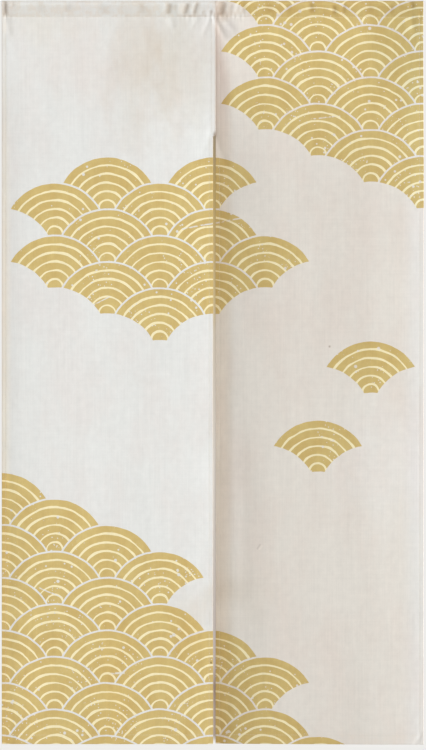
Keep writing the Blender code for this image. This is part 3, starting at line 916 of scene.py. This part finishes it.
def stitch_mesh(name, lines):
    """One mesh of small spindles, each lying on a cloth face between two (X, depth, below) ends."""
    turn = math.tau * np.arange(STITCH_RING) / STITCH_RING
    points = []
    faces = []
    for start_points, end_points, outward in lines:
        for start, end in zip(start_points, end_points):
            along = end - start
            length = np.linalg.norm(along)
            along = along / length
            across = np.cross(along, (0.0, outward, 0.0))
            first = len(points)
            points.append(start)
            for share in (0.28, 0.72):
                centre = start + share * length * along
                for angle in turn:
                    lift = (0.0, STITCH_HIGH * math.sin(angle) * outward, 0.0)
                    points.append(centre + across * STITCH_WIDE / 2 * math.cos(angle) + lift)
            points.append(end)
            last = first + 2 * STITCH_RING + 1
            for step in range(STITCH_RING):
                after = (step + 1) % STITCH_RING
                near, near_after = first + 1 + step, first + 1 + after
                far, far_after = near + STITCH_RING, near_after + STITCH_RING
                faces.append((first, near_after, near))
                faces.append((near, near_after, far_after, far))
                faces.append((last, far, far_after))
    mesh = bpy.data.meshes.new(name)
    mesh.from_pydata([tuple(point) for point in points], [], faces)
    shell = bmesh.new()
    shell.from_mesh(mesh)
    bmesh.ops.recalc_face_normals(shell, faces=shell.faces)
    shell.to_mesh(mesh)
    shell.free()
    mesh.shade_smooth()
    piece = bpy.data.objects.new(name, mesh)
    bpy.context.collection.objects.link(piece)
    return piece


def lay_on_cloth(side, ends, lift):
    """Stitch ends placed at a lift behind the cloth's printed face: X, depth and height."""
    laid = []
    for place in ends:
        depth = cloth_depth(side, place[:, 0], place[:, 1]) + lift
        laid.append(np.stack([place[:, 0], depth, -place[:, 1]], axis=1))
    return laid


def plain_material(name, colour, roughness):
    """A material of one colour."""
    material = bpy.data.materials.new(name)
    material.use_nodes = True
    surface = material.node_tree.nodes["Principled BSDF"]
    surface.inputs["Base Color"].default_value = (*colour, 1.0)
    surface.inputs["Roughness"].default_value = roughness
    return material


thread = plain_material("sewing_thread", (0.70, 0.66, 0.56), 0.8)

for side, name in ((-1, "left_stitching"), (1, "right_stitching")):
    inner = side * (slit_edge(side) + SIDE_STITCH)
    outer = side * (HALF - SIDE_STITCH)
    seam_inner = side * (seam_edge(side) + SIDE_STITCH)
    bottom = DROP - BOTTOM_STITCH
    pocket = HEADING + POCKET_STITCH
    seams = (
        ((side * (seam_edge(side) + ROW_END), pocket), (side * (HALF - ROW_END), pocket)),
        ((inner, SLIT_TOP + 0.004), (inner, bottom)),
        ((seam_inner, HEADING + 0.004), (seam_inner, SLIT_TOP - 0.002)),
        ((outer, HEADING + 0.004), (outer, bottom)),
        ((inner, bottom), (outer, bottom)),
    )
    lines = []
    for start, end in seams:
        ends = stitched_rows(side, start, end, STITCH_PITCH, 0.0004)
        lines.append((*lay_on_cloth(side, ends, 0.0), -1.0))
        lines.append((*lay_on_cloth(side, ends, HEM_BACK), 1.0))
    stitching = stitch_mesh(name, lines)
    stitching.data.materials.append(thread)
    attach(stitching, "root")

# The seam's own stitches slant across it behind, and the bar tack crosses it at the slit's top
SEAM_STITCH_PITCH = 0.0048
TACK_PITCH = 0.0006
TACK_STITCHES = 5


def over_seam(below, read_at, reach, rises):
    """Ends of stitches that cross the seam behind: how far to each side of it the cloths' depth is read
    and the stitches reach, and how far their left and right ends rise."""
    depths = [cloth_depth(side, np.full_like(below, SEAM_X + side * read_at), below) for side in (-1, 1)]
    depth = (depths[0] + depths[1]) / 2 + HEM_BACK
    ends = []
    for side, rise in zip((-1, 1), rises):
        ends.append(np.stack([np.full_like(below, SEAM_X + side * reach), depth, rise - below], axis=1))
    return ends


seam_below = np.arange(HEADING + 0.005, SLIT_TOP - 0.004, SEAM_STITCH_PITCH)
tack_below = SLIT_TOP - 0.0005 - TACK_PITCH * np.arange(TACK_STITCHES)
seam_stitching = stitch_mesh("seam_stitching", [
    (*over_seam(seam_below, 0.001, 0.0015, (-0.0012, 0.0012)), 1.0),
    (*over_seam(tack_below, 0.002, 0.0024, (0.0, -0.0003)), 1.0),
])
seam_stitching.data.materials.append(thread)
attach(seam_stitching, "root")

# The room: a pale floor, and a pale wall close behind the curtain, seen only from its front. The wall glows
# with its own colour and takes no light; where the cloth covers it, its shade is painted in. Soft light comes
# from the right, as from a wide window, and from all round.
bpy.ops.object.select_all(action="DESELECT")
bpy.ops.mesh.primitive_plane_add(size=40.0, location=(0.0, 0.0, -2.0))
floor = bpy.context.object
floor.name = "floor"
floor.data.materials.append(plain_material("pale_floor", (0.72, 0.71, 0.69), 0.9))

WALL_BACK = 0.10
UPRIGHT = (math.radians(90.0), 0.0, 0.0)
bpy.ops.mesh.primitive_plane_add(size=12.0, location=(0.0, WALL_BACK, 4.0), rotation=UPRIGHT)
wall = bpy.context.object
wall.name = "backdrop"
wall.visible_diffuse = False
wall.visible_glossy = False
wall.visible_transmission = False
wall.visible_shadow = False
plaster = bpy.data.materials.new("pale_wall")
plaster.use_nodes = True
tree = plaster.node_tree
tree.nodes.remove(tree.nodes["Principled BSDF"])
wall_place = tree.nodes.new("ShaderNodeNewGeometry")
spot = split(tree, wall_place.outputs["Position"])
LIT_WALL = (0.865, 0.855, 0.830, 1.0)
# Painted shade behind the cloth, darker and golden in places: how far up the wall, and the tone there
SHADE_STOPS = (
    {"at": 0.040, "tone": (0.390, 0.320, 0.265)}, {"at": 0.072, "tone": (0.290, 0.220, 0.175)},
    {"at": 0.100, "tone": (0.480, 0.420, 0.380)}, {"at": 0.380, "tone": (0.640, 0.590, 0.530)},
    {"at": 0.555, "tone": (0.580, 0.510, 0.410)}, {"at": 0.595, "tone": (0.550, 0.440, 0.240)},
    {"at": 0.680, "tone": (0.490, 0.370, 0.175)}, {"at": 0.760, "tone": (0.430, 0.315, 0.130)},
    {"at": 0.800, "tone": (0.360, 0.280, 0.165)}, {"at": 0.825, "tone": (0.330, 0.270, 0.190)},
)
up_share = scaled(tree, spot["Z"], 1.0 / 1.5, 1.0)
behind_shade = tree.nodes.new("ShaderNodeValToRGB")
while len(behind_shade.color_ramp.elements) < len(SHADE_STOPS):
    behind_shade.color_ramp.elements.new(0.5)
for element, stop in zip(behind_shade.color_ramp.elements, SHADE_STOPS):
    element.position = stop["at"]
    element.color = (*stop["tone"], 1.0)
tree.links.new(up_share, behind_shade.inputs["Fac"])
beyond_cloth = ramp(tree, add_math(tree, "ABSOLUTE", spot["X"]), 0.33, 0.425)
below_cloth = ramp(tree, spot["Z"], -1.488, -1.508)
above_cloth = ramp(tree, spot["Z"], -0.06, -0.005)
lit = add_math(tree, "MAXIMUM", beyond_cloth, add_math(tree, "MAXIMUM", below_cloth, above_cloth))
wall_colour = colour_mix(tree, "MIX", lit, behind_shade.outputs["Color"], LIT_WALL)
glow = tree.nodes.new("ShaderNodeEmission")
tree.links.new(wall_colour, glow.inputs["Color"])
clear = tree.nodes.new("ShaderNodeBsdfTransparent")
one_sided = tree.nodes.new("ShaderNodeMixShader")
tree.links.new(wall_place.outputs["Backfacing"], one_sided.inputs["Fac"])
tree.links.new(glow.outputs[0], one_sided.inputs[1])
tree.links.new(clear.outputs[0], one_sided.inputs[2])
tree.links.new(one_sided.outputs[0], tree.nodes["Material Output"].inputs["Surface"])
wall.data.materials.append(plaster)

world = bpy.data.worlds.new("pale_room")
bpy.context.scene.world = world
world.use_nodes = True
world.node_tree.nodes["Background"].inputs["Color"].default_value = (0.90, 0.87, 0.83, 1.0)
world.node_tree.nodes["Background"].inputs["Strength"].default_value = 0.57

bpy.ops.object.light_add(type="SUN", location=(3.0, -1.0, 0.5))
window = bpy.context.object
window.name = "window_light"
window.data.energy = 7.0
window.data.angle = math.radians(12.0)
window.data.color = (0.95, 0.99, 1.05)
LIGHT_AROUND = math.radians(75.0)
LIGHT_UP = math.radians(3.0)
level = math.cos(LIGHT_UP)
from_light = Vector((math.sin(LIGHT_AROUND) * level, -math.cos(LIGHT_AROUND) * level, math.sin(LIGHT_UP)))
window.rotation_mode = "QUATERNION"
window.rotation_quaternion = from_light.to_track_quat("Z", "Y")

CAMERA_BACK = 9.0
CAMERA_X = 0.0010
CAMERA_Z = -0.7553
FRAME_HEIGHT = 1.5135
bpy.ops.object.camera_add(location=(CAMERA_X, -CAMERA_BACK, CAMERA_Z), rotation=UPRIGHT)
camera = bpy.context.object
camera.data.sensor_width = 36.0
camera.data.lens = camera.data.sensor_width * CAMERA_BACK / FRAME_HEIGHT
camera.data.clip_end = 100.0
bpy.context.scene.camera = camera
bpy.context.scene.view_settings.view_transform = "Standard"
